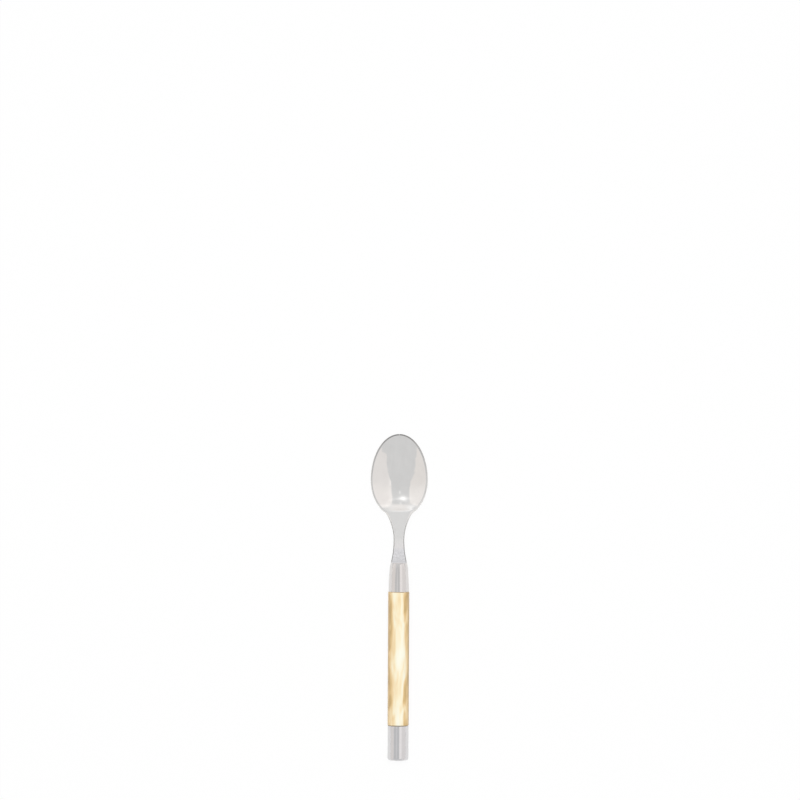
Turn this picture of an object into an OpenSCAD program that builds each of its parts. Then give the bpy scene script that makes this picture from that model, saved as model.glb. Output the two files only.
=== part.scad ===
// Espresso spoon, lying on a table with its bowl up. The polished steel head is one piece: a bowl, a
// flattened neck and a round collar with a tang. A pearly sleeve slides over the tang, and a steel cap
// on the tang's end holds it against the collar.
// +Y points to the bowl's tip, +Z is up, and Z = 0 is the table under the bowl and the cap.

/* [Bowl] */
// Width of the bowl across its rim
bowl_w = 20.1; // [17:0.1:24]
// Length from the tip to the widest place
bowl_front = 16.2; // [13:0.1:20]
// Length from the widest place to where the bowl's oval would close behind it
bowl_rear = 13.3; // [11:0.1:17]
// Depth of the hollow below the rim
bowl_depth = 4.4; // [3.6:0.1:5.2]
// Thickness of the bowl's wall
bowl_wall = 0.9; // [0.7:0.05:1.2]
// Rise of the rim from the widest place to the tip
tip_rise = 0.7; // [0:0.1:1.5]
// Rise of the rim from the widest place to the shoulder
shoulder_rise = 0.4; // [0:0.1:1]
// Thickness of the rim at the shoulder
shoulder_t = 1.15; // [1:0.05:1.3]
// Angle round the oval at which its outline turns into the neck
shoulder_angle = 53; // [50:1:60]

/* [Neck] */
// Width of the neck's root, just behind the shoulder
root_w = 9.2; // [8.4:0.1:9.8]
// Length from the shoulder to that root
root_len = 1.5; // [1.2:0.1:2.4]
// Thickness of the neck's root at its sides
root_t = 1.5; // [1.3:0.05:2]
// Length from the widest place to the crease where the hollow ends at the neck's flat
crease_len = 11.3; // [9:0.1:14]
// Length from the root to the waist, where the neck is narrowest
taper_len = 9.2; // [7:0.1:13]
// Width of the waist
waist_w = 3.8; // [3.3:0.1:4.4]
// Thickness of the waist
waist_t = 2.3; // [1.9:0.05:2.6]
// Length from the waist to the collar
flare_len = 8.2; // [6:0.1:11]
// Thickness across the neck's two flats where they meet the collar
flat_t = 3; // [2.7:0.05:3.3]
// Fillet between the flats and the collar's front face
flat_fillet = 0.5; // [0.3:0.05:0.6]

/* [Collar and tang] */
// Diameter of the collar at its front face
collar_front_d = 5.8; // [5.4:0.1:6.2]
// Diameter of the collar against the sleeve
collar_rear_d = 7.3; // [6.8:0.1:7.8]
// Length of the collar
collar_len = 10.1; // [7:0.1:14]
// Rounding of the steel edges
steel_edge = 0.2; // [0.1:0.05:0.3]
// Diameter of the tang
tang_d = 4; // [3:0.1:4.6]
// Length of the tang inside the cap
tang_in_cap = 8; // [4:0.5:10]

/* [Handle] */
// Diameter of the sleeve
sleeve_d = 7.5; // [6.8:0.1:9]
// Length of the sleeve
sleeve_len = 47.3; // [30:0.1:70]
// Rounding of the sleeve's edges
sleeve_edge = 0.3; // [0.15:0.05:0.5]
// Clearance round the tang in the sleeve
sleeve_gap = 0.1; // [0.05:0.01:0.2]
// Diameter of the cap
cap_d = 7.4; // [6.8:0.1:9]
// Length of the cap
cap_len = 12.3; // [11.5:0.1:18]
// Rounding of the cap's free end
cap_round = 0.8; // [0.4:0.1:1.4]
// Clearance round the tang in the cap
cap_gap = 0.05; // [0.03:0.01:0.1]
// Space left beyond the tang's end in the cap
cap_relief = 0.7; // [0.3:0.1:1]
// Slope of the handle on the table, downwards to the cap
handle_tilt = 3.5; // [2:0.1:6]

/* [Hidden] */
$fn = 96;

// Segments across the bowl, and round each edge from the upper face to the lower one
cross_steps = 20;
edge_steps = 6;
// Small step for slopes that are measured and not worked out
probe = 0.005;
// How far the neck runs on inside the collar, and how far it stays under the collar's surface there
neck_overlap = 0.6;
neck_inset = 0.02;
// Steepness of the hollow at the rim, where 1 is a plain paraboloid
hollow_fullness = 0.9;
// How much the hollow's rear wall flattens towards the crease, where 0 is a plain paraboloid
rear_ease = 0.15;
// Softness of the crease at the end of the hollow, as a share of the depth
crease_soft = 0.08;
// Sharpness of the underside's rise from the bowl to the neck
heel_power = 2.3;
// Length from the root to where the underside's rise has run out
heel_runout = 2.2;
// Where the collar's steep front runs over into its slow taper
knee_at = 1.6;
knee_d = 6.42;
tang_chamfer = 0.4;

half_wall = bowl_wall / 2;
cap_r = cap_d / 2;
collar_r = collar_front_d / 2;

// Semi-axes of the middle of the bowl's wall, seen from above
side_axis = bowl_w / 2 - half_wall;
front_axis = bowl_front - half_wall;
rear_axis = bowl_rear - half_wall;

// Stations along the spoon, measured level from the tip
belly_at = bowl_front;
shoulder_at = belly_at + rear_axis * sin(shoulder_angle);
root_at = shoulder_at + root_len;
waist_at = root_at + taper_len;
collar_at = waist_at + flare_len;
crease_at = belly_at + crease_len;
heel_end = root_at + heel_runout;
fillet_at = collar_at - flat_fillet;

// The handle's axis, from the middle of the collar's front face down to the cap's end
handle_len = collar_len + sleeve_len + cap_len;
collar_z = (cap_r - cap_round) * cos(handle_tilt) + cap_round
    + (handle_len - cap_round) * sin(handle_tilt);
tip_y = (collar_at + (handle_len - cap_round) * cos(handle_tilt)
    + (cap_r - cap_round) * sin(handle_tilt) + cap_round) / 2;

// Knots of the smooth curves, each a station, a value and a slope
shoulder_slope = -side_axis / rear_axis * tan(shoulder_angle);
root_slope = -0.61;
rim_slope = 0.09;
waist_growth = 0.035;
flare_slope = 0.25;
waist_bulge = sagitta(waist_w / 2, waist_t / 2);
face_knots = [
    [shoulder_at, side_axis * cos(shoulder_angle), shoulder_slope],
    [root_at, root_w / 2 - mix(half_wall, waist_bulge, 0.2) * norm([1, root_slope]), root_slope],
    [waist_at, waist_w / 2 - waist_bulge, -waist_growth * waist_t / 2 / (waist_w / 2 - waist_bulge)]
];
bar_knots = [
    [waist_at, waist_w / 2, 0],
    [collar_at, collar_r - neck_inset, flare_slope],
    [collar_at + neck_overlap, collar_r - neck_inset, 0]
];
thickness_knots = [
    [belly_at, half_wall, 0],
    [shoulder_at, shoulder_t / 2, 0.05],
    [root_at, root_t / 2, 0.09],
    [waist_at, waist_t / 2, waist_growth],
    [collar_at, flat_t / 2, 0.05]
];
rim_knots = [
    [belly_at, bowl_depth + half_wall, 0],
    [shoulder_at, bowl_depth + half_wall + shoulder_rise, rim_slope],
    [collar_at, collar_z, -tan(handle_tilt)]
];

function hermite(a, b, s) =
    let (h = b[0] - a[0], t = (s - a[0]) / h)
    (1 + 2 * t) * (1 - t) ^ 2 * a[1] + t * (1 - t) ^ 2 * h * a[2]
    + t ^ 2 * (3 - 2 * t) * b[1] - t ^ 2 * (1 - t) * h * b[2];

function curve(knots, s, i = 0) =
    i == len(knots) - 2 || s < knots[i + 1][0] ? hermite(knots[i], knots[i + 1], s) : curve(knots, s, i + 1);

function smooth(t) = let (u = min(1, max(0, t))) u * u * (3 - 2 * u);
function mix(a, b, t) = a + (b - a) * t;
function unit(v) = v / norm(v);
// Height of the arc of radius r that is left beside a flat at half the thickness h
function sagitta(r, h) = r - sqrt(r ^ 2 - h ^ 2);

// 0 on the bowl, whose edge is a half round, and 1 from the waist on, where the edges are what the flats
// leave of a round bar
function barness(s) = smooth((s - shoulder_at) / (waist_at - shoulder_at));

// Half the thickness of the metal
function half_t(s) =
    s < belly_at ? half_wall
    : s < fillet_at ? curve(thickness_knots, s)
    : curve(thickness_knots, min(s, collar_at)) + flat_fillet
        - sqrt(flat_fillet ^ 2 - (min(s, collar_at) - fillet_at) ^ 2);

// How far the edge bulges past the flat or hollow part of the face
function bulge(s) =
    s < waist_at ? mix(half_wall, waist_bulge, barness(s)) : sagitta(curve(bar_knots, s), half_t(s));

// Half the width of the face between its edges
function half_w(s) =
    s < belly_at ? side_axis * sqrt(max(0, 1 - ((belly_at - s) / front_axis) ^ 2))
    : s < shoulder_at ? side_axis * sqrt(1 - ((s - belly_at) / rear_axis) ^ 2)
    : s < waist_at ? curve(face_knots, s)
    : curve(bar_knots, s) - bulge(s);

// Height of the rim line, and behind the bowl of the neck's middle
function rim_z(s) =
    s < belly_at ? bowl_depth + half_wall + tip_rise * ((belly_at - s) / bowl_front) ^ 2
    : s > collar_at ? collar_z - (s - collar_at) * tan(handle_tilt)
    : curve(rim_knots, s);

// Depth below the rim line for a share of the full depth
function depth(share) = bowl_depth * (hollow_fullness * share + (1 - hollow_fullness) * share ^ 2);

// That share for the sheet of metal, at x across and s along
function sheet_share(x, s) =
    s < belly_at ? 1 - ((belly_at - s) / front_axis) ^ 2 - (x / side_axis) ^ 2
    : s < heel_end ? (1 - ((s - belly_at) / (heel_end - belly_at)) ^ heel_power) ^ 2
        * (1 - (x / half_w(s)) ^ 2)
    : 0;

// The same for the upper face behind the belly, where the metal is thicker and the hollow ends in a crease
function hollow_share(x, s) =
    let (
        t = (s - belly_at) / crease_len,
        q = (1 - t ^ 2) * (1 - rear_ease * t ^ 2),
        cut = q > crease_soft ? q : q > -crease_soft ? (q + crease_soft) ^ 2 / (4 * crease_soft) : 0
    )
    cut * (1 - (x / half_w(s)) ^ 2);

// How far the upper face stands above the plain sheet
function heel_lift(x, s) =
    s < belly_at || s > heel_end ? 0 : depth(sheet_share(x, s)) - depth(hollow_share(x, s));

// Height of the middle of the sheet
function mid_z(x, s) = rim_z(s) - depth(sheet_share(x, s));

function x_slope(x, s) = (mid_z(x + probe, s) - mid_z(x - probe, s)) / (2 * probe);
function y_slope(x, s) = (mid_z(x, s - probe) - mid_z(x, s + probe)) / (2 * probe);

// Direction out of the face at its right edge, seen from above
function outward(s) =
    s < belly_at ? unit([half_w(s) / side_axis ^ 2, (belly_at - s) / front_axis ^ 2])
    : unit([1, (1 - barness(s)) * (half_w(s + probe) - half_w(s - probe)) / (2 * probe)]);

// Point on the upper face (side 1) or the lower one (side -1)
function face_point(x, s, side) =
    [x, tip_y - s, mid_z(x, s)] + side * half_t(s) * unit([-x_slope(x, s), -y_slope(x, s), 1])
    + [0, 0, side > 0 ? heel_lift(x, s) : 0];

// Points round the right edge (side 1) or the left one (side -1), between the upper and the lower face
function edge_points(s, side) =
    let (
        x = side * half_w(s),
        h = half_t(s),
        b = bulge(s),
        r = (h ^ 2 + b ^ 2) / (2 * b),
        reach = b < h ? asin(h / r) : 90,
        up = unit([-x_slope(x, s), -y_slope(x, s), 1]),
        plan = [side * outward(s)[0], outward(s)[1]],
        out = unit([plan[0], plan[1], plan * [x_slope(x, s), y_slope(x, s)]])
    )
    [
        for (k = [1 : edge_steps - 1])
        let (a = reach * (1 - 2 * k / edge_steps))
        [x, tip_y - s, mid_z(x, s)] + out * (r * cos(a) - r + b) + up * r * sin(a)
    ];

across = [for (j = [0 : cross_steps]) sin((2 * j / cross_steps - 1) * 60) / sin(60)];

// One closed ring of the loft: upper face, right edge, lower face, left edge
function ring(s) = concat(
    [for (k = across) face_point(k * half_w(s), s, 1)],
    edge_points(s, 1),
    [for (k = across) face_point(-k * half_w(s), s, -1)],
    [for (k = [edge_steps - 2 : -1 : 0]) edge_points(s, -1)[k]]
);

stations = concat(
    [for (i = [1 : 15]) belly_at - front_axis * cos(i * 6)],
    [for (i = [1 : 13]) mix(belly_at, shoulder_at, i / 13)],
    [for (i = [1 : 5]) mix(shoulder_at, root_at, i / 5)],
    [for (i = [1 : 9]) mix(root_at, waist_at, i / 9)],
    [for (i = [1 : 6]) mix(waist_at, fillet_at, i / 6)],
    [for (i = [1 : 4]) fillet_at + flat_fillet * sin(i * 22.5)],
    [collar_at + neck_overlap]
);

// Bowl and neck: a loft of rings that starts at the tip's edge and ends inside the collar
module bowl_and_neck() {
    ring_size = 2 * (cross_steps + 1) + 2 * (edge_steps - 1);
    tip = belly_at - front_axis;
    tip_ring = concat([face_point(0, tip, 1)], edge_points(tip, 1), [face_point(0, tip, -1)]);
    last = stations[len(stations) - 1];
    points = concat(tip_ring, [for (s = stations) each ring(s)], [[0, tip_y - last, mid_z(0, last)]]);

    // The tip's ring has one point for each face and shares its edge points between left and right
    function tip_index(j) =
        j <= cross_steps ? 0
        : j < cross_steps + edge_steps ? j - cross_steps
        : j <= 2 * cross_steps + edge_steps ? edge_steps
        : 2 * cross_steps + 2 * edge_steps - j;
    function index(i, j) = edge_steps + 1 + i * ring_size + j % ring_size;

    tip_faces = [
        for (j = [0 : ring_size - 1])
        let (a = tip_index(j), b = tip_index((j + 1) % ring_size))
        each a == b
            ? [[a, index(0, j + 1), index(0, j)]]
            : [[a, index(0, j + 1), index(0, j)], [a, b, index(0, j + 1)]]
    ];
    side_faces = [
        for (i = [0 : len(stations) - 2], j = [0 : ring_size - 1])
        each [
            [index(i, j), index(i + 1, j + 1), index(i + 1, j)],
            [index(i, j), index(i, j + 1), index(i + 1, j + 1)]
        ]
    ];
    end_faces = [
        for (j = [0 : ring_size - 1])
        [index(len(stations) - 1, j), index(len(stations) - 1, j + 1), len(points) - 1]
    ];
    polyhedron(points, concat(tip_faces, side_faces, end_faces), convexity = 6);
}

// Places its children on the handle's axis, at a distance behind the collar's front face
module on_handle(distance) {
    translate([0, tip_y - collar_at, collar_z])
        rotate([90 + handle_tilt, 0, 0])
            translate([0, 0, distance])
                children();
}

// Half section of a solid bar with a rounded edge at each end
module bar_section(r, len, round_start, round_end) {
    square([r - max(round_start, round_end), len]);
    translate([0, round_start])
        square([r, len - round_start - round_end]);
    square([r - round_start, len / 2]);
    translate([0, len / 2])
        square([r - round_end, len / 2]);
    translate([r - round_start, round_start])
        circle(round_start);
    translate([r - round_end, len - round_end])
        circle(round_end);
}

// Collar, flared from the neck's round to the sleeve's, and the tang behind it
module collar_and_tang() {
    flare = [
        [0, collar_r, flare_slope],
        [knee_at, knee_d / 2, 0.1],
        [collar_len, collar_rear_d / 2, 0.035]
    ];
    flare_steps = 14;
    edge_steps = 4;
    tang_end = collar_len + sleeve_len + tang_in_cap;
    section = concat(
        [[0, 0]],
        [
            for (i = [0 : flare_steps])
            let (z = (collar_len - steel_edge) * i / flare_steps)
            [curve(flare, z), z]
        ],
        [
            for (i = [1 : edge_steps])
            let (a = 90 * i / edge_steps)
            [collar_rear_d / 2, collar_len] - steel_edge * [1 - cos(a), 1 - sin(a)]
        ],
        [
            [tang_d / 2, collar_len],
            [tang_d / 2, tang_end - tang_chamfer],
            [tang_d / 2 - tang_chamfer, tang_end],
            [0, tang_end]
        ]
    );
    on_handle(0)
        rotate_extrude()
            polygon(section);
}

module spoon_head() {
    color("silver")
        union() {
            bowl_and_neck();
            collar_and_tang();
        }
}

module handle_sleeve() {
    color([0.93, 0.82, 0.6])
        on_handle(collar_len)
            difference() {
                rotate_extrude()
                    bar_section(sleeve_d / 2, sleeve_len, sleeve_edge, sleeve_edge);
                translate([0, 0, -1])
                    cylinder(d = tang_d + 2 * sleeve_gap, h = sleeve_len + 2);
            }
}

module end_cap() {
    color("silver")
        on_handle(collar_len + sleeve_len)
            difference() {
                rotate_extrude()
                    bar_section(cap_r, cap_len, steel_edge, cap_round);
                translate([0, 0, -1])
                    cylinder(d = tang_d + 2 * cap_gap, h = 1 + tang_in_cap + cap_relief);
            }
}

spoon_head();
handle_sleeve();
end_cap();
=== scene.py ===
# Looks of the espresso spoon, built around its fixed frame: polished steel, a pearly gold sleeve and a
# white table. Sizes are in millimetres and named as in the part's own source.
import math

import bmesh
import bpy
import numpy as np
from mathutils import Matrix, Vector


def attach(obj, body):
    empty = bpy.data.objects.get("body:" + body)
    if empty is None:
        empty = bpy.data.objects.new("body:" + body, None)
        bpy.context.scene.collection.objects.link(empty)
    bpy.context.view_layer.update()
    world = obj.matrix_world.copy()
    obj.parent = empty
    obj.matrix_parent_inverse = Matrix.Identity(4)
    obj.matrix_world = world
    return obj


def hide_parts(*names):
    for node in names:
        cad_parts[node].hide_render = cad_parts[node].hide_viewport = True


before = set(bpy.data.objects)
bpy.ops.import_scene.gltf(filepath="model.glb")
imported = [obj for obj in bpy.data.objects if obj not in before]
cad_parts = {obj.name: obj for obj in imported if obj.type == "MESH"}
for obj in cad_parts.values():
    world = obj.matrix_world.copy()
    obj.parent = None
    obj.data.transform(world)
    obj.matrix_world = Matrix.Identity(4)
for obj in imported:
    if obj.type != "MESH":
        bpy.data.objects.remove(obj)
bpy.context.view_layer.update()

MM = 0.001

# Bowl
BOWL_W = 20.1
BOWL_FRONT = 16.2
BOWL_REAR = 13.3
BOWL_DEPTH = 4.4
HOLLOW_FULLNESS = 0.9
HALF_WALL = 0.45
TIP_RISE = 0.7
SHOULDER_RISE = 0.4
SHOULDER_RUN = 0.09
SHOULDER_ANGLE = math.radians(53)
CREASE_LEN = 11.3
REAR_EASE = 0.15
CREASE_SOFT = 0.08
HEEL_POWER = 2.3
HEEL_RUNOUT = 2.2

# Neck
ROOT_W = 9.2
ROOT_LEN = 1.5
SHOULDER_T = 1.15
ROOT_T = 1.5
ROOT_SLOPE = -0.61
TAPER_LEN = 9.2
WAIST_W = 3.8
WAIST_T = 2.3
WAIST_GROWTH = 0.035
FLARE_LEN = 8.2
FLARE_SLOPE = 0.25
FLAT_T = 3.0
FLAT_FILLET = 0.5
LEAN_RUN = 4.0

# Collar, tang and handle
COLLAR_R = 2.9
COLLAR_REAR_R = 3.65
COLLAR_LEN = 10.1
KNEE_AT = 1.6
KNEE_R = 3.21
LEDGE_EDGE = 0.12
STEEL_EDGE = 0.2
TANG_R = 2.0
TANG_IN_CAP = 8.0
TANG_CHAMFER = 0.4
SLEEVE_R = 3.75
CAP_R = 3.7
SLEEVE_LEN = 47.3
SLEEVE_EDGE = 0.3
SLEEVE_GAP = 0.1
CAP_LEN = 12.3
CAP_ROUND = 0.8
CAP_GAP = 0.05
CAP_RELIEF = 0.7
HANDLE_TILT = math.radians(3.5)

# Fineness of the meshes
CROSS_STEPS = 64
EDGE_STEPS = 20
LATHE_STEPS = 192
PROBE = 0.004
SAME_POINT = 0.0005
NO_LENGTH = 0.0002
ON_AXIS_R = 0.001
HEAD_SHARP_ANGLE = math.radians(38)
TURNED_SHARP_ANGLE = math.radians(35)

# Stations along the spoon, measured level from the tip
SIDE_AXIS = BOWL_W / 2 - HALF_WALL
FRONT_AXIS = BOWL_FRONT - HALF_WALL
REAR_AXIS = BOWL_REAR - HALF_WALL
BELLY_AT = BOWL_FRONT
SHOULDER_AT = BELLY_AT + REAR_AXIS * math.sin(SHOULDER_ANGLE)
ROOT_AT = SHOULDER_AT + ROOT_LEN
WAIST_AT = ROOT_AT + TAPER_LEN
COLLAR_AT = WAIST_AT + FLARE_LEN
HEEL_END = ROOT_AT + HEEL_RUNOUT
FILLET_AT = COLLAR_AT - FLAT_FILLET

# The handle's axis, from the middle of the collar's front face down to the cap's end
HANDLE_LEN = COLLAR_LEN + SLEEVE_LEN + CAP_LEN
COLLAR_Z = (
    (CAP_R - CAP_ROUND) * math.cos(HANDLE_TILT)
    + CAP_ROUND
    + (HANDLE_LEN - CAP_ROUND) * math.sin(HANDLE_TILT)
)
TIP_Y = (
    COLLAR_AT
    + (HANDLE_LEN - CAP_ROUND) * math.cos(HANDLE_TILT)
    + (CAP_R - CAP_ROUND) * math.sin(HANDLE_TILT)
    + CAP_ROUND
) / 2


def hermite(a, b, s):
    """Cubic between two knots, each a station, a value and a slope."""
    h = b[0] - a[0]
    t = (s - a[0]) / h
    return (
        (1 + 2 * t) * (1 - t) ** 2 * a[1]
        + t * (1 - t) ** 2 * h * a[2]
        + t * t * (3 - 2 * t) * b[1]
        - t * t * (1 - t) * h * b[2]
    )


def curve(knots, s):
    """Smooth curve through such knots."""
    for a, b in zip(knots[:-1], knots[1:]):
        if s < b[0]:
            return hermite(a, b, s)
    return hermite(knots[-2], knots[-1], s)


def smooth(t):
    u = min(1.0, max(0.0, t))
    return u * u * (3 - 2 * u)


def mix(a, b, t):
    return a + (b - a) * t


def sagitta(r, h):
    """Height of the arc of radius r that is left beside a flat at half the thickness h."""
    return r - math.sqrt(r * r - h * h)


def unit(v):
    return v / np.linalg.norm(v)


WAIST_BULGE = sagitta(WAIST_W / 2, WAIST_T / 2)
SHOULDER_SLOPE = -SIDE_AXIS / REAR_AXIS * math.tan(SHOULDER_ANGLE)
FACE_KNOTS = [
    (SHOULDER_AT, SIDE_AXIS * math.cos(SHOULDER_ANGLE), SHOULDER_SLOPE),
    (ROOT_AT, ROOT_W / 2 - mix(HALF_WALL, WAIST_BULGE, 0.2) * math.hypot(1, ROOT_SLOPE), ROOT_SLOPE),
    (
        WAIST_AT,
        WAIST_W / 2 - WAIST_BULGE,
        -WAIST_GROWTH * WAIST_T / 2 / (WAIST_W / 2 - WAIST_BULGE),
    ),
]
BAR_KNOTS = [
    (WAIST_AT, WAIST_W / 2, 0),
    (COLLAR_AT, COLLAR_R, FLARE_SLOPE),
]
THICKNESS_KNOTS = [
    (BELLY_AT, HALF_WALL, 0),
    (SHOULDER_AT, SHOULDER_T / 2, 0.05),
    (ROOT_AT, ROOT_T / 2, 0.09),
    (WAIST_AT, WAIST_T / 2, WAIST_GROWTH),
    (COLLAR_AT, FLAT_T / 2, 0.05),
]
RIM_KNOTS = [
    (BELLY_AT, BOWL_DEPTH + HALF_WALL, 0),
    (SHOULDER_AT, BOWL_DEPTH + HALF_WALL + SHOULDER_RISE, SHOULDER_RUN),
    (COLLAR_AT, COLLAR_Z, -math.tan(HANDLE_TILT)),
]
COLLAR_KNOTS = [
    (0, COLLAR_R, FLARE_SLOPE),
    (KNEE_AT, KNEE_R, 0.1),
    (COLLAR_LEN, COLLAR_REAR_R, 0.035),
]


def barness(s):
    """0 on the bowl, whose rim is half round, and 1 from the waist on, where flats are cut on a bar."""
    return smooth((s - SHOULDER_AT) / (WAIST_AT - SHOULDER_AT))


def half_t(s):
    """Half the thickness of the metal."""
    if s < BELLY_AT:
        return HALF_WALL
    plain = curve(THICKNESS_KNOTS, min(s, COLLAR_AT))
    if s < FILLET_AT:
        return plain
    rise = min(s, COLLAR_AT) - FILLET_AT
    return plain + FLAT_FILLET - math.sqrt(FLAT_FILLET**2 - rise**2)


def bulge(s):
    """How far the edge stands out past the flat or hollow part of the face."""
    if s < WAIST_AT:
        return mix(HALF_WALL, WAIST_BULGE, barness(s))
    return sagitta(curve(BAR_KNOTS, s), half_t(s))


def half_w(s):
    """Half the width of the face between its edges."""
    if s < BELLY_AT:
        return SIDE_AXIS * math.sqrt(max(0.0, 1 - ((BELLY_AT - s) / FRONT_AXIS) ** 2))
    if s < SHOULDER_AT:
        return SIDE_AXIS * math.sqrt(1 - ((s - BELLY_AT) / REAR_AXIS) ** 2)
    if s < WAIST_AT:
        return curve(FACE_KNOTS, s)
    return curve(BAR_KNOTS, s) - bulge(s)


def rim_z(s):
    """Height of the rim line, and behind the bowl of the neck's middle."""
    if s < BELLY_AT:
        return BOWL_DEPTH + HALF_WALL + TIP_RISE * ((BELLY_AT - s) / BOWL_FRONT) ** 2
    return curve(RIM_KNOTS, s)


def depth(share):
    """Depth below the rim line for a share of the full depth."""
    return BOWL_DEPTH * (HOLLOW_FULLNESS * share + (1 - HOLLOW_FULLNESS) * share**2)


def sheet_share(x, s):
    """That share for the sheet of metal."""
    if s < BELLY_AT:
        return 1 - ((BELLY_AT - s) / FRONT_AXIS) ** 2 - (x / SIDE_AXIS) ** 2
    if s < HEEL_END:
        along = (1 - ((s - BELLY_AT) / (HEEL_END - BELLY_AT)) ** HEEL_POWER) ** 2
        return along * (1 - (x / half_w(s)) ** 2)
    return 0 * x


def hollow_share(x, s):
    """The same for the upper face behind the belly, where the hollow ends in a crease."""
    t = (s - BELLY_AT) / CREASE_LEN
    q = (1 - t * t) * (1 - REAR_EASE * t * t)
    if q < -CREASE_SOFT:
        q = 0.0
    elif q < CREASE_SOFT:
        q = (q + CREASE_SOFT) ** 2 / (4 * CREASE_SOFT)
    return q * (1 - (x / half_w(s)) ** 2)


def heel_lift(x, s):
    """How far the upper face stands above the plain sheet."""
    if s < BELLY_AT or s > HEEL_END:
        return 0 * x
    return depth(sheet_share(x, s)) - depth(hollow_share(x, s))


def mid_z(x, s):
    """Height of the middle of the sheet."""
    return rim_z(s) - depth(sheet_share(x, s))


def slopes(x, s):
    """Slopes of the sheet across (X) and along (Y)."""
    across = (mid_z(x + PROBE, s) - mid_z(x - PROBE, s)) / (2 * PROBE)
    along = (mid_z(x, s - PROBE) - mid_z(x, s + PROBE)) / (2 * PROBE)
    return across, along


def face_points(x, s, side):
    """Points at the stations x across on the upper face (side 1) or the lower one (side -1)."""
    across, along = slopes(x, s)
    normal = np.stack([-across, -along, np.ones_like(x)], axis=1)
    normal /= np.linalg.norm(normal, axis=1)[:, None]
    points = np.stack([x, np.full_like(x, TIP_Y - s), mid_z(x, s)], axis=1) + side * half_t(s) * normal
    if side > 0:
        points[:, 2] += heel_lift(x, s)
    return points


def outward(s):
    """Direction out of the face at its right edge, seen from above."""
    if s < BELLY_AT:
        return unit(np.array([half_w(s) / SIDE_AXIS**2, (BELLY_AT - s) / FRONT_AXIS**2]))
    slope = (half_w(s + PROBE) - half_w(s - PROBE)) / (2 * PROBE)
    return unit(np.array([1, (1 - barness(s)) * slope]))


def arc_point(h, b, t):
    """Point at the share t of a rounded edge of half height h that bulges by b, out of the face and up."""
    r = (h * h + b * b) / (2 * b)
    reach = math.asin(h / r) if b < h else math.pi / 2
    a = reach * (1 - 2 * t)
    return r * math.cos(a) - r + b, r * math.sin(a)


def edge_points(s, side):
    """Points round the right edge (side 1) or the left one (side -1), from the upper face down."""
    x = side * half_w(s)
    h = half_t(s)
    b = bulge(s)
    across, along = slopes(x, s)
    up = unit(np.array([-across, -along, 1]))
    plan = outward(s) * np.array([side, 1])
    out = unit(np.array([plan[0], plan[1], plan @ np.array([across, along])]))
    middle = np.array([x, TIP_Y - s, mid_z(x, s)])
    points = []
    for k in range(1, EDGE_STEPS):
        reach_out, reach_up = arc_point(h, b, k / EDGE_STEPS)
        points.append(middle + out * reach_out + up * reach_up)
    return np.array(points)


# Stations across a face as shares of half its width, closer together towards its edges
CROWDING = math.radians(70)
ACROSS = np.sin((2 * np.arange(CROSS_STEPS + 1) / CROSS_STEPS - 1) * CROWDING) / math.sin(CROWDING)


def edge_shares(s):
    """How much painted edge shade and dullness each point of the ring at s takes, in the ring's order.

    The bowl's rim takes it but for its two corners, and the neck in a strip beside each corner.
    """
    face = [0.0] * (CROSS_STEPS + 1)
    start = mix(-0.4, 0.3, barness(s))
    edge = []
    for k in range(1, EDGE_STEPS):
        from_corner = min(k, EDGE_STEPS - k) / EDGE_STEPS
        middle = smooth((from_corner - 0.18) / 0.2)
        edge.append(smooth(5 * from_corner + start) * (1 - 0.85 * barness(s) * middle))
    return 2 * (face + edge)


def neck_ring(s):
    """One closed ring: upper face, right edge, lower face, left edge."""
    w = half_w(s)
    ring = np.concatenate(
        [
            face_points(ACROSS * w, s, 1),
            edge_points(s, 1),
            face_points(-ACROSS * w, s, -1),
            edge_points(s, -1)[::-1],
        ]
    )
    # Towards the collar the rings lean until they are square to the handle's axis
    lean = math.tan(HANDLE_TILT) * smooth((s - COLLAR_AT + LEAN_RUN) / LEAN_RUN)
    ring[:, 1] -= (ring[:, 2] - rim_z(s)) * lean
    return ring


AXIS = np.array([0, -math.cos(HANDLE_TILT), -math.sin(HANDLE_TILT)])
AXIS_UP = np.array([0, -math.sin(HANDLE_TILT), math.cos(HANDLE_TILT)])
AXIS_START = np.array([0, TIP_Y - COLLAR_AT, COLLAR_Z])


def on_axis(turn_x, turn_up, radius, distance):
    """Points round the handle's axis, at a radius and a distance behind the collar's front.

    The turns are the sine and the cosine of each point's angle from straight up.
    """
    radius = np.broadcast_to(radius, turn_x.shape)
    distance = np.broadcast_to(distance, turn_x.shape)
    return (
        AXIS_START
        + distance[:, None] * AXIS
        + (radius * turn_x)[:, None] * np.array([1, 0, 0])
        + (radius * turn_up)[:, None] * AXIS_UP
    )


def head_stations():
    """Stations of the rings from the tip to the collar, close together where the form turns quickly."""
    tip = [BELLY_AT - FRONT_AXIS * math.cos(math.radians(a)) for a in np.linspace(0.4, 90, 56)]
    rear = list(np.linspace(BELLY_AT, BELLY_AT + CREASE_LEN - 1.2, 34)[1:])
    crease = list(np.linspace(rear[-1], HEEL_END, 44)[1:])
    neck = list(np.linspace(HEEL_END, FILLET_AT, 44)[1:])
    fillet = [FILLET_AT + FLAT_FILLET * math.sin(math.radians(a)) for a in np.linspace(0, 84, 9)[1:]]
    return tip + rear + crease + neck + fillet + [COLLAR_AT - 0.001]


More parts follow.
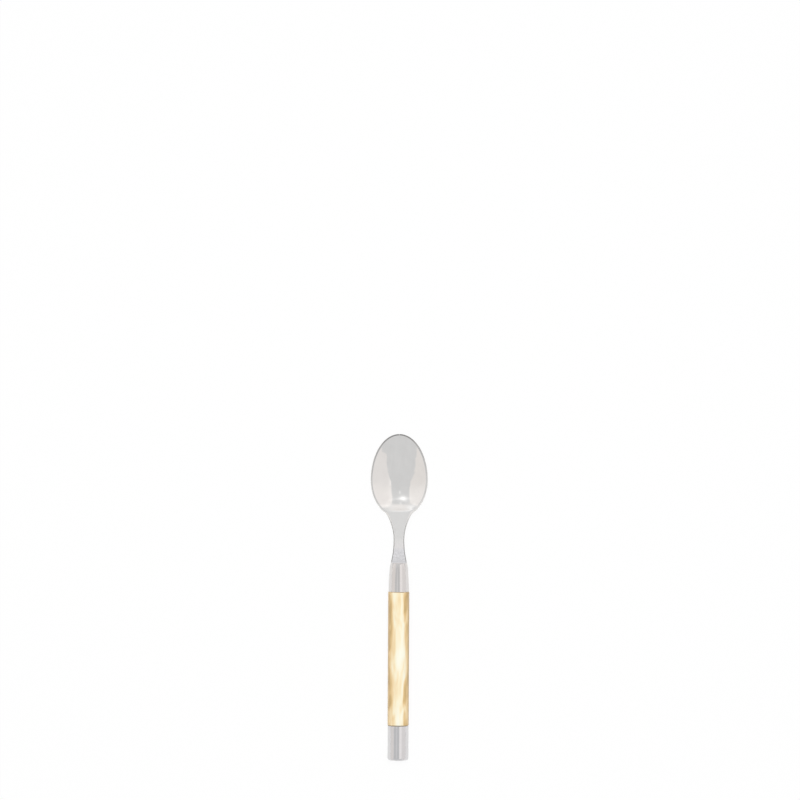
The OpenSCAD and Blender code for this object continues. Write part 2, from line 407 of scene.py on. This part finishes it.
def collar_rings(last):
    """Rings from the neck's last one over the ledge, along the collar and the tang."""
    local = last - AXIS_START
    x, up = local[:, 0], local @ AXIS_UP
    face = CROSS_STEPS + 1
    is_face = np.zeros(len(last), dtype=bool)
    is_face[:face] = True
    is_face[face + EDGE_STEPS - 1 : 2 * face + EDGE_STEPS - 1] = True
    circle_up = np.where(is_face, np.sign(up) * np.sqrt(COLLAR_R**2 - x**2), up)
    length = np.hypot(x, circle_up)
    turn_x, turn_up = x / length, circle_up / length
    # The ledge's corner is rounded only where the collar stands above the neck's flats
    share = np.clip((np.hypot(x, circle_up) - np.hypot(x, up)) / LEDGE_EDGE / 2, 0, 1)
    rings = []
    for a in np.radians([0, 22.5, 45, 67.5, 90]):
        distance = LEDGE_EDGE * share * (1 - math.cos(a))
        radius = COLLAR_R + FLARE_SLOPE * distance - LEDGE_EDGE * share * (1 - math.sin(a))
        rings.append(on_axis(turn_x, turn_up, radius, distance))
    for d in np.linspace(LEDGE_EDGE, COLLAR_LEN - STEEL_EDGE, 40)[1:]:
        rings.append(on_axis(turn_x, turn_up, curve(COLLAR_KNOTS, d), d))
    for a in np.radians([15, 30, 45, 60, 75, 90]):
        radius = COLLAR_REAR_R - STEEL_EDGE * (1 - math.cos(a))
        rings.append(on_axis(turn_x, turn_up, radius, COLLAR_LEN - STEEL_EDGE * (1 - math.sin(a))))
    tang_end = COLLAR_LEN + SLEEVE_LEN + TANG_IN_CAP
    rings.append(on_axis(turn_x, turn_up, TANG_R, COLLAR_LEN))
    for d in np.linspace(COLLAR_LEN, tang_end - TANG_CHAMFER, 8)[1:]:
        rings.append(on_axis(turn_x, turn_up, TANG_R, d))
    rings.append(on_axis(turn_x, turn_up, TANG_R - TANG_CHAMFER, tang_end))
    return rings


def mesh_from_rings(name, rings, sharp_angle, close_loop=False, shares=()):
    """A closed mesh through rings of equally many points, sharp where it turns by more than the angle.

    The shares of the painted edge shade and dullness go into the attribute "edge", a list for each
    ring from the first one on.
    """
    count = len(rings[0])
    bm = bmesh.new()
    layer = bm.verts.layers.float.new("edge")
    rows = [[bm.verts.new(Vector(p) * MM) for p in ring] for ring in rings]
    for row, row_shares in zip(rows, shares):
        for vert, share in zip(row, row_shares):
            vert[layer] = share
    pairs = list(zip(rows[:-1], rows[1:]))
    if close_loop:
        pairs.append((rows[-1], rows[0]))
    for a, b in pairs:
        for j in range(count):
            k = (j + 1) % count
            bm.faces.new((a[j], a[k], b[k], b[j]))
    if not close_loop:
        for row in (rows[0], rows[-1]):
            centre = bm.verts.new(sum((v.co for v in row), Vector()) / count)
            for j in range(count):
                bm.faces.new((row[j], row[(j + 1) % count], centre))
    bmesh.ops.remove_doubles(bm, verts=bm.verts, dist=SAME_POINT * MM)
    bmesh.ops.dissolve_degenerate(bm, edges=bm.edges, dist=NO_LENGTH * MM)
    bmesh.ops.recalc_face_normals(bm, faces=bm.faces)
    for face in bm.faces:
        face.smooth = True
    for edge in bm.edges:
        edge.smooth = len(edge.link_faces) != 2 or edge.calc_face_angle(0) < sharp_angle
    mesh = bpy.data.meshes.new(name)
    bm.to_mesh(mesh)
    bm.free()
    obj = bpy.data.objects.new(name, mesh)
    bpy.context.collection.objects.link(obj)
    return obj


def arc(centre_r, centre_d, radius, start, stop, steps):
    """Profile points on an arc, as (radius, distance) pairs, angles from the outward direction."""
    return [
        (centre_r + radius * math.cos(a), centre_d + radius * math.sin(a))
        for a in np.radians(np.linspace(start, stop, steps))
    ]


def lathe(name, profile):
    """A solid turned on the handle's axis: a ring, or a plain body if its profile starts on the axis."""
    turns = np.arange(LATHE_STEPS) * 2 * math.pi / LATHE_STEPS
    rings = [on_axis(np.sin(turns), np.cos(turns), r, d) for r, d in profile]
    return mesh_from_rings(name, rings, TURNED_SHARP_ANGLE, close_loop=profile[0][0] > ON_AXIS_R)


def make_head():
    stations = head_stations()
    rings = [neck_ring(s) for s in stations]
    shares = [edge_shares(s) for s in stations]
    rings += collar_rings(rings[-1])
    return mesh_from_rings("bowl_neck_collar", rings, HEAD_SHARP_ANGLE, shares=shares)


def make_sleeve():
    start = COLLAR_LEN
    stop = start + SLEEVE_LEN
    e = SLEEVE_EDGE
    bore = TANG_R + SLEEVE_GAP
    profile = (
        [(bore, start)]
        + arc(SLEEVE_R - e, start + e, e, -90, 0, 8)
        + [(SLEEVE_R, d) for d in np.linspace(start + e, stop - e, 40)[1:-1]]
        + arc(SLEEVE_R - e, stop - e, e, 0, 90, 8)
        + [(bore, stop)]
    )
    return lathe("pearl_sleeve", profile)


def make_cap():
    start = COLLAR_LEN + SLEEVE_LEN
    stop = start + CAP_LEN
    bore = TANG_R + CAP_GAP
    hole_end = start + TANG_IN_CAP + CAP_RELIEF
    profile = (
        [(ON_AXIS_R, hole_end), (bore, hole_end), (bore, start)]
        + arc(CAP_R - STEEL_EDGE, start + STEEL_EDGE, STEEL_EDGE, -90, 0, 7)
        + [(CAP_R, d) for d in np.linspace(start + STEEL_EDGE, stop - CAP_ROUND, 16)[1:-1]]
        + arc(CAP_R - CAP_ROUND, stop - CAP_ROUND, CAP_ROUND, 0, 90, 16)
        + [(ON_AXIS_R, stop)]
    )
    return lathe("steel_cap", profile)


class Nodes:
    """Short way to write node trees: each call adds a node, links its inputs and returns its output."""

    def __init__(self, tree):
        self.tree = tree
        tree.nodes.clear()

    def add(self, kind, inputs=(), output=0, **settings):
        node = self.tree.nodes.new(kind)
        for key, value in settings.items():
            setattr(node, key, value)
        for key, value in dict(inputs).items():
            if isinstance(value, bpy.types.NodeSocket):
                self.tree.links.new(value, node.inputs[key])
            else:
                node.inputs[key].default_value = value
        return node.outputs[output] if len(node.outputs) else node

    def math(self, operation, a, b=0.0, c=0.0):
        return self.add("ShaderNodeMath", {0: a, 1: b, 2: c}, operation=operation)

    def ramp(self, value, stops, interpolation="EASE"):
        """Colour ramp over (position, colour) stops."""
        out = self.add("ShaderNodeValToRGB", {0: value})
        ramp = out.node.color_ramp
        ramp.interpolation = interpolation
        while len(ramp.elements) < len(stops):
            ramp.elements.new(1.0)
        for element, (position, colour) in zip(ramp.elements, stops):
            element.position = position
            element.color = (*colour, 1.0)
        return out

    def ramp_over(self, value, low, high, stops):
        """The same, for stops that are given as values from low to high."""
        share = self.span(value, low, high, smooth_step=False)
        return self.ramp(share, [((at - low) / (high - low), colour) for at, colour in stops])

    def scale(self, vector, factor):
        """A colour or a vector times a number."""
        return self.add("ShaderNodeVectorMath", {0: vector, 3: factor}, operation="SCALE")

    def band(self, value, start, full, fade, end):
        """1 between full and fade, and down to 0 at start and at end."""
        return self.math("MULTIPLY", self.span(value, start, full), self.span(value, end, fade))

    def span(self, value, low, high, to_low=0.0, to_high=1.0, smooth_step=True):
        """Maps low..high to to_low..to_high, clamped."""
        kind = "SMOOTHSTEP" if smooth_step else "LINEAR"
        inputs = {0: value, 1: low, 2: high, 3: to_low, 4: to_high}
        return self.add("ShaderNodeMapRange", inputs, interpolation_type=kind)

    def blend(self, factor, a, b):
        """Colour a where the factor is 0, b where it is 1."""
        node = self.tree.nodes.new("ShaderNodeMix")
        node.data_type = "RGBA"
        for key, value in ((0, factor), (6, a), (7, b)):
            if isinstance(value, bpy.types.NodeSocket):
                self.tree.links.new(value, node.inputs[key])
            elif key:
                node.inputs[key].default_value = (*value, 1.0)
            else:
                node.inputs[key].default_value = value
        return node.outputs[2]


def new_material(name):
    """A material without any nodes, and the helper that adds them."""
    material = bpy.data.materials.new(name)
    material.use_nodes = True
    return material, Nodes(material.node_tree)


def millimetres(nodes):
    """The object's own coordinates, in millimetres."""
    point = nodes.add("ShaderNodeTexCoord", output="Object")
    return nodes.scale(point, 1 / MM)


def noise(nodes, vector, scale, detail=2.0, roughness=0.5, output=0):
    inputs = {"Vector": vector, "Scale": scale, "Detail": detail, "Roughness": roughness}
    return nodes.add("ShaderNodeTexNoise", inputs, output=output)


STEEL_COLOUR = (0.82, 0.81, 0.79)
CAP_COLOUR = (0.80, 0.805, 0.805)

# Tone of the steel at stations along Y: cap and collar a shade darker; painted reflection along the neck,
# lighter than the bowl over its worked end and satin flat and brightest just behind the worked end;
# a painted darker line at the crease; then the bowl
TONES_SPAN = (10.0, 34.0)
STEEL_TONES_AND_PAINTED_REFLECTION = (
    (11.92, (0.90, 0.885, 0.89)),
    (12.64, (1.1, 1.1, 1.14)),
    (16.48, (1.1, 1.1, 1.14)),
    (17.92, (1.18, 1.16, 1.17)),
    (20.08, (1.16, 1.15, 1.15)),
    (21.52, (1.1, 1.1, 1.1)),
    (30.16, (1.1, 1.1, 1.1)),
    (30.88, (1.06, 1.06, 1.06)),
    (32.08, (1.1, 1.1, 1.1)),
    (33.28, (1.0, 1.0, 1.0)),
)

# How much painted dark shade and dullness the rounded edges take at stations along Y: most along the
# neck and round the bowl's front
EDGE_SHADE_SPAN = (10.0, 60.0)
EDGE_SHADE_AND_DULLNESS = (
    (12.2, 0.0),
    (12.5, 1.0),
    (25.0, 0.9),
    (31.0, 0.06),
    (40.0, 0.2),
    (45.0, 0.4),
    (53.0, 0.68),
    (56.5, 1.0),
)
EDGE_SHADE_COLOUR = (0.27, 0.265, 0.26)

# Stretches of the neck along Y, each fading in between its first two values and out between the last two
WORKED = (12.6, 13.6, 15.5, 17.5)
SATIN = (12.5, 13.2, 31.2, 33.2)

# Roughness of the polish, and what the satin flat and the edges add to it
POLISHED_LOW = 0.05
POLISHED_HIGH = 0.1
SATIN_ADDS = 0.16
EDGE_ADDS = 0.25

# Painted mottled reflection over the hammer marks, in tone, and the marks' depth
PAINTED_MOTTLE_CONTRAST = 0.45
MARK_RELIEF = 35.0


def steel(name, colour):
    """Polished stainless steel with faint wipe marks, hairlines and a slightly uneven shine."""
    material, n = new_material(name)
    point = millimetres(n)
    along = n.add("ShaderNodeSeparateXYZ", {0: point}, output=1)
    clouds = noise(n, point, 0.35, detail=3.0)
    drawn_out = n.add("ShaderNodeMapping", {0: point, "Scale": (6.0, 0.35, 6.0)})
    hairlines = noise(n, drawn_out, 1.0, detail=3.0, roughness=0.6)
    wear = n.math("MULTIPLY_ADD", hairlines, 0.5, n.math("MULTIPLY", clouds, 0.5))

    tint = n.blend(n.span(clouds, 0.35, 0.65), [0.98 * c for c in colour], colour)
    # Painted reflection: lighter bands along the neck and a darker line at the crease
    tone = n.ramp_over(along, *TONES_SPAN, STEEL_TONES_AND_PAINTED_REFLECTION)
    tint = n.add("ShaderNodeVectorMath", {0: tint, 1: tone}, operation="MULTIPLY")
    roughness = n.span(wear, 0.35, 0.65, POLISHED_LOW, POLISHED_HIGH)
    roughness = n.math("MULTIPLY_ADD", n.band(along, *SATIN), SATIN_ADDS, roughness)

    # Hammered look of the neck just before the collar: dimples in relief, with a painted mottled
    # reflection in the tone
    dimples = noise(n, point, 1.1, detail=2.0)
    worked = n.band(along, *WORKED)
    painted_mottle_contrast = n.math("MULTIPLY", worked, PAINTED_MOTTLE_CONTRAST)
    tint = n.scale(tint, n.math("MULTIPLY_ADD", n.math("SUBTRACT", dimples, 0.5), painted_mottle_contrast, 1.0))
    relief = n.math("MULTIPLY_ADD", n.math("MULTIPLY", dimples, worked), MARK_RELIEF, hairlines)
    bump = n.add("ShaderNodeBump", {"Strength": 0.03, "Distance": 0.01 * MM, "Height": relief})

    # Rounded edges take a painted dark shade and are less polished
    edge = n.add("ShaderNodeAttribute", output="Fac", attribute_name="edge")
    edge_shade_and_dullness = n.ramp_over(along, *EDGE_SHADE_SPAN, [(at, (level, level, level)) for at, level in EDGE_SHADE_AND_DULLNESS])
    edge = n.math("MULTIPLY", edge, edge_shade_and_dullness)
    tint = n.blend(edge, tint, EDGE_SHADE_COLOUR)
    roughness = n.math("MULTIPLY_ADD", edge, EDGE_ADDS, roughness)

    shader = n.add(
        "ShaderNodeBsdfPrincipled",
        {"Base Color": tint, "Metallic": 1.0, "Roughness": roughness, "Normal": bump},
    )
    n.add("ShaderNodeOutputMaterial", {"Surface": shader})
    return material


# The resin's colours from tan to cream, which also give its painted highlight and painted flank shade
PEARL_AND_PAINTED_SHEEN_COLOURS = (
    (0.0, (0.50, 0.33, 0.13)),
    (0.2, (0.80, 0.56, 0.25)),
    (0.4, (0.92, 0.71, 0.41)),
    (0.62, (1.0, 0.89, 0.62)),
    (0.85, (1.0, 0.98, 0.83)),
)

# The sleeve is a little darker over its last half millimetre along Y
SHADED_END = (-44.8, -45.2)


def facing(nodes, x, z):
    """How squarely the surface faces the direction (x, z) across the spoon: 1 straight, 0 edge on."""
    normal = nodes.add("ShaderNodeTexCoord", output="Normal")
    inputs = {0: normal, 1: (x, 0.0, z)}
    return nodes.add("ShaderNodeVectorMath", inputs, output=1, operation="DOT_PRODUCT")


def pearl(name):
    """Gold mother-of-pearl resin: long soft clouds from tan to cream under a clear gloss."""
    material, n = new_material(name)
    point = millimetres(n)
    along = n.add("ShaderNodeSeparateXYZ", {0: point}, output=1)
    slanted = n.add(
        "ShaderNodeMapping", {0: point, "Rotation": (0.0, 0.3, 0.14), "Scale": (0.3, 0.06, 0.3)}
    )
    warp = noise(n, slanted, 1.0, detail=1.0, output="Color")
    warped = n.add(
        "ShaderNodeVectorMath", {0: warp, 1: (0.9, 0.9, 0.9), 2: slanted}, operation="MULTIPLY_ADD"
    )
    clouds = noise(n, warped, 1.3, detail=2.0, roughness=0.45)
    wisps = noise(n, warped, 3.6, detail=1.5)

    # Painted highlight: the pale cream along the top, a little to the right.
    # Painted shade: a tan band on the right flank beside it
    painted_highlight = n.span(facing(n, 0.25, 0.97), 0.2, 1.0, -0.08, 0.5)
    share = n.math("MULTIPLY_ADD", n.span(clouds, 0.3, 0.7), 0.42, painted_highlight)
    share = n.math("MULTIPLY_ADD", n.math("SUBTRACT", wisps, 0.5), 0.3, share)
    # Painted shade on the right flank, broken up by the clouds
    beside = n.math("MULTIPLY_ADD", clouds, -0.45, facing(n, 0.91, 0.42))
    share = n.math("SUBTRACT", share, n.span(beside, 0.56, 0.68, 0.0, 0.42))
    colour = n.ramp(share, PEARL_AND_PAINTED_SHEEN_COLOURS, interpolation="B_SPLINE")
    colour = n.scale(colour, n.span(along, *SHADED_END, 1.0, 0.55))
    shader = n.add(
        "ShaderNodeBsdfPrincipled",
        {
            "Base Color": colour,
            "Metallic": 0.1,
            "Roughness": n.span(clouds, 0.35, 0.65, 0.38, 0.3),
            "Coat Weight": 0.4,
            "Coat Roughness": 0.03,
            "Coat IOR": 1.5,
        },
    )
    n.add("ShaderNodeOutputMaterial", {"Surface": shader})
    return material


def table_material():
    """White table top that stays white to the camera and keeps a soft shadow."""
    material, n = new_material("white_table")
    plain = n.add("ShaderNodeBsdfDiffuse", {"Color": (0.95, 0.95, 0.95, 1.0)})
    glow = n.add("ShaderNodeEmission", {"Color": (1.0, 1.0, 1.0, 1.0), "Strength": 1.0})
    path = n.add("ShaderNodeLightPath").node
    mirrored = n.math("MAXIMUM", path.outputs["Is Glossy Ray"], path.outputs["Is Transmission Ray"])
    share = n.math("MULTIPLY_ADD", path.outputs["Is Camera Ray"], 0.94, n.math("MULTIPLY", mirrored, 0.2))
    surface = n.add("ShaderNodeMixShader", {0: share, 1: plain, 2: glow})
    n.add("ShaderNodeOutputMaterial", {"Surface": surface})
    return material


TABLE_REACH = 2500.0


def make_table():
    bm = bmesh.new()
    bmesh.ops.create_grid(bm, x_segments=1, y_segments=1, size=TABLE_REACH * MM)
    mesh = bpy.data.meshes.new("table")
    bm.to_mesh(mesh)
    bm.free()
    table = bpy.data.objects.new("table", mesh)
    bpy.context.collection.objects.link(table)
    mesh.materials.append(table_material())


# The grey panel's tones and colour
PANEL_LOW = 0.74
PANEL_HIGH = 0.765
PANEL_COLOUR = (1.0, 1.005, 1.02)

# The panel's end over the bowl is a card at this height, through corners (x, y)
PANEL_END_Z = 31.0
PANEL_END = ((-42.0, 33.3), (28.4, 33.3), (17.3, 43.0), (16.9, 53.0), (-24.6, 53.0), (-25.3, 43.0))


def make_panel_end():
    """The part of the grey panel that hangs low over the bowl, out of the handle's sight."""
    bm = bmesh.new()
    bm.faces.new([bm.verts.new(Vector((x, y, PANEL_END_Z)) * MM) for x, y in PANEL_END])
    mesh = bpy.data.meshes.new("panel_end")
    bm.to_mesh(mesh)
    bm.free()
    card = bpy.data.objects.new("panel_end", mesh)
    bpy.context.collection.objects.link(card)
    material, n = new_material("grey_panel")
    tone = (PANEL_LOW + PANEL_HIGH) / 2
    colour = (*[tone * c for c in PANEL_COLOUR], 1.0)
    shine = n.add("ShaderNodeEmission", {"Color": colour, "Strength": 1.0})
    n.add("ShaderNodeOutputMaterial", {"Surface": shine})
    mesh.materials.append(material)
    card.visible_camera = False
    card.visible_diffuse = False
    card.visible_shadow = False


# Every direction in the room is named by the point where it meets a ceiling one unit above the table:
# across to the right and along towards the bowl's tip.

# Soft lights on the ceiling: centre and size, both across and along, then strength and slant
GLOWS = (
    ((-0.33, 1.6), (0.31, 0.29), 0.5, 0.0),
    ((-0.2, 1.63), (1.0, 0.12), 0.17, 0.12),
    ((-0.05, 0.93), (0.08, 0.15), 0.2, 0.0),
    ((-0.12, 2.3), (0.09, 0.2), 0.2, 0.0),
    ((-0.63, 0.3), (0.05, 0.4), 0.04, 0.0),
    ((-0.3, -0.1), (0.12, 0.15), 0.18, 0.0),
)

# The strip of ceiling that the handle mirrors, and the part of it that makes its grey stripe. Each fades
# in between its first two values along, and out between its last two.
HANDLE_STRIP = (-0.42, -0.32, 0.36, 0.44)
GREY_STRIPE = (-0.42, -0.32, 0.0, 0.25)

# How far the panel reaches from the middle, and how soft its sides are
PANEL_LEFT = 0.92
PANEL_RIGHT = 0.66
PANEL_RIGHT_AT_HANDLE = 0.22
PANEL_FAR = 2.5
PANEL_SOFTNESS = 0.07

# Walls over the handle and beyond the bowl
LEFT_WALL = ((0.89, 0.86, 0.845), (0.94, 0.91, 0.90))
RIGHT_WALL = ((0.90, 0.875, 0.87), (0.975, 0.94, 0.93))
DIM_ROOM = (0.45, 0.45, 0.45)


def glow(n, across, along, centre, size, strength, slant):
    """A soft round or stretched light on the ceiling."""
    along = n.math("MULTIPLY_ADD", across, -slant, along)
    u = n.math("DIVIDE", n.math("SUBTRACT", across, centre[0]), size[0])
    v = n.math("DIVIDE", n.math("SUBTRACT", along, centre[1]), size[1])
    square = n.math("MULTIPLY_ADD", u, u, n.math("MULTIPLY", v, v))
    return n.math("MULTIPLY", n.math("POWER", math.e, n.math("MULTIPLY", square, -1.0)), strength)


def panel_sides(n, along, over_handle, over_stripe):
    """How far the panel reaches to the left and to the right at each distance along.

    Its sides are straight beyond the bowl and spread behind the handle. Over the handle it ends nearer.
    """
    spread = n.math("ADD", n.span(along, 0.15, -0.75, 0.0, 0.58), n.span(along, -1.0, -1.8, 0.0, 1.4))
    left = n.math("MULTIPLY_ADD", over_stripe, -0.15, PANEL_LEFT)
    left = n.math("MULTIPLY_ADD", spread, 1.5, left)
    left = n.math("SUBTRACT", left, n.span(along, 1.5, 2.2, 0.0, 0.12))
    right = n.math("ADD", spread, PANEL_RIGHT)
    right = n.math("MULTIPLY", right, n.math("SUBTRACT", 1.0, over_handle))
    right = n.math("MULTIPLY_ADD", over_handle, PANEL_RIGHT_AT_HANDLE, right)
    right = n.math("SUBTRACT", right, n.span(along, 1.0, 1.4, 0.0, 0.07))
    return left, right


def wall_lights(n, across, along, left, right, over_handle, inside):
    """Light along the panel's sides, next to the handle on the right and beyond the bowl on both sides."""
    outside = n.math("SUBTRACT", 1.0, inside)
    by_right = n.math("MULTIPLY", n.span(n.math("SUBTRACT", across, right), 0.5, 0.0), 0.07)
    by_left = n.math("MULTIPLY", n.span(n.math("ADD", across, left), -0.3, 0.0), 0.03)
    beyond_bowl = n.math("MULTIPLY", n.span(along, 0.0, 1.0), outside)
    beyond_bowl = n.math("MULTIPLY", beyond_bowl, n.math("ADD", by_right, by_left))
    by_handle = n.math("MULTIPLY", over_handle, n.band(across, 0.0, 0.2, 0.6, 1.1))
    by_handle = n.math("MULTIPLY", by_handle, outside)
    return n.math("MULTIPLY_ADD", by_handle, 0.15, beyond_bowl)


def make_studio():
    """The room: a long grey ceiling panel between light warm walls, with a window glow beyond the bowl."""
    world = bpy.data.worlds.new("studio")
    bpy.context.scene.world = world
    world.use_nodes = True
    n = Nodes(world.node_tree)
    way = n.add("ShaderNodeTexCoord", output="Generated")
    split = n.add("ShaderNodeSeparateXYZ", {0: way}).node
    x, y, z = (split.outputs[i] for i in range(3))

    # Where each direction meets the ceiling
    height = n.math("MAXIMUM", z, 0.05)
    across = n.math("DIVIDE", x, height)
    along = n.math("DIVIDE", y, height)

    over_handle = n.band(along, *HANDLE_STRIP)
    over_stripe = n.band(along, *GREY_STRIPE)

    # The panel ends in a curve beyond the bowl
    left, right = panel_sides(n, along, over_handle, over_stripe)
    from_right = n.span(n.math("SUBTRACT", right, across), -PANEL_SOFTNESS, PANEL_SOFTNESS)
    from_left = n.span(n.math("ADD", left, across), -PANEL_SOFTNESS, PANEL_SOFTNESS)
    inside = n.math("MULTIPLY", from_right, from_left)
    far_end = n.math("MULTIPLY_ADD", n.math("MULTIPLY", across, across), -0.9, PANEL_FAR)
    panel_share = n.math("MULTIPLY", inside, n.span(n.math("SUBTRACT", far_end, along), -0.1, 0.1))

    # It has faint streaks along it, gets lighter over the bowl and is darker in the handle's stripe
    stretched = n.add("ShaderNodeCombineXYZ", {0: n.math("MULTIPLY", across, 5.0), 1: along})
    streaks = noise(n, stretched, 0.8, detail=2.0)
    tone = n.span(streaks, 0.3, 0.7, PANEL_LOW, PANEL_HIGH)
    tone = n.math("ADD", tone, n.span(along, 0.3, 1.3, 0.0, 0.035))
    tone = n.math("MULTIPLY_ADD", over_stripe, -0.08, tone)
    panel = n.add("ShaderNodeVectorMath", {0: tone, 1: PANEL_COLOUR}, operation="MULTIPLY")

    left_wall = n.blend(n.span(along, -0.3, 1.9), *LEFT_WALL)
    right_wall = n.blend(n.span(along, -0.3, 1.3), *RIGHT_WALL)
    walls = n.blend(n.span(across, -0.5, 0.5), left_wall, right_wall)
    room = n.blend(panel_share, walls, panel)

    lights = wall_lights(n, across, along, left, right, over_handle, inside)
    for centre, size, strength, slant in GLOWS:
        lights = n.math("ADD", lights, glow(n, across, along, centre, size, strength, slant))
    extra = n.add("ShaderNodeCombineColor", {0: lights, 1: lights, 2: lights})
    room = n.add("ShaderNodeVectorMath", {0: room, 1: extra}, operation="ADD")

    # The dark end of the room below the far wall
    shade = n.math("MULTIPLY", n.span(z, 0.14, 0.06), n.span(y, 0.0, 0.3))
    room = n.blend(shade, room, DIM_ROOM)

    # Mirrors see the room as it is, matt surfaces get half of their light from it and half from the lamp
    path = n.add("ShaderNodeLightPath").node
    shown = n.blend(path.outputs["Is Diffuse Ray"], room, DIM_ROOM)
    shown = n.blend(path.outputs["Is Camera Ray"], shown, (1.0, 1.0, 1.0))
    background = n.add("ShaderNodeBackground", {"Color": shown, "Strength": 1.0})
    n.add("ShaderNodeOutputWorld", {"Surface": background})


# The lamp: its radiance would be 1 if it looked just white
LAMP_SIDE = 350.0
LAMP_DISTANCE = 900.0
LAMP_DIRECTION = (0.0, 0.1, 1.0)
LAMP_TARGET = (0.0, 20.0, 5.0)
LAMP_RADIANCE = 12.5


def make_lamp():
    """A square lamp over the spoon, which mirrors don't see."""
    light = bpy.data.lights.new("overhead_fill", "AREA")
    light.shape = "SQUARE"
    light.size = LAMP_SIDE * MM
    light.energy = LAMP_RADIANCE * math.pi * light.size**2
    obj = bpy.data.objects.new("overhead_fill", light)
    bpy.context.collection.objects.link(obj)
    way = Vector(LAMP_DIRECTION).normalized()
    obj.location = (Vector(LAMP_TARGET) + way * LAMP_DISTANCE) * MM
    obj.rotation_euler = (-way).to_track_quat("-Z", "Y").to_euler()
    obj.visible_camera = False
    obj.visible_glossy = False


# The camera stands straight above, with the picture's middle beyond the bowl's tip. Its scale holds at
# the level of the handle.
MM_PER_PIXEL = 0.3522
PICTURE_WIDTH = 800
CAMERA_HEIGHT = 2400.0
SCALE_LEVEL = 6.0
PICTURE_CENTRE = (0.14, TIP_Y + 12.0)
CAMERA_ROLL = math.radians(0.26)
SENSOR = 36.0


def make_camera():
    data = bpy.data.cameras.new("camera")
    data.sensor_width = SENSOR
    data.lens = SENSOR * (CAMERA_HEIGHT - SCALE_LEVEL) / (PICTURE_WIDTH * MM_PER_PIXEL)
    camera = bpy.data.objects.new("camera", data)
    bpy.context.collection.objects.link(camera)
    camera.location = Vector((*PICTURE_CENTRE, CAMERA_HEIGHT)) * MM
    camera.rotation_euler = (0.0, 0.0, CAMERA_ROLL)
    bpy.context.scene.camera = camera


def dress(obj, node, material):
    """The piece rides on the one body, stands for its CAD node and takes its material."""
    obj.data.materials.append(material)
    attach(obj, "root")
    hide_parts(node)


bpy.context.scene.view_settings.view_transform = "Standard"
make_camera()
make_studio()
make_lamp()
make_table()
make_panel_end()

dress(make_head(), "spoon_head", steel("polished_steel", STEEL_COLOUR))
dress(make_sleeve(), "handle_sleeve", pearl("gold_pearl"))
dress(make_cap(), "end_cap", steel("cap_steel", CAP_COLOUR))
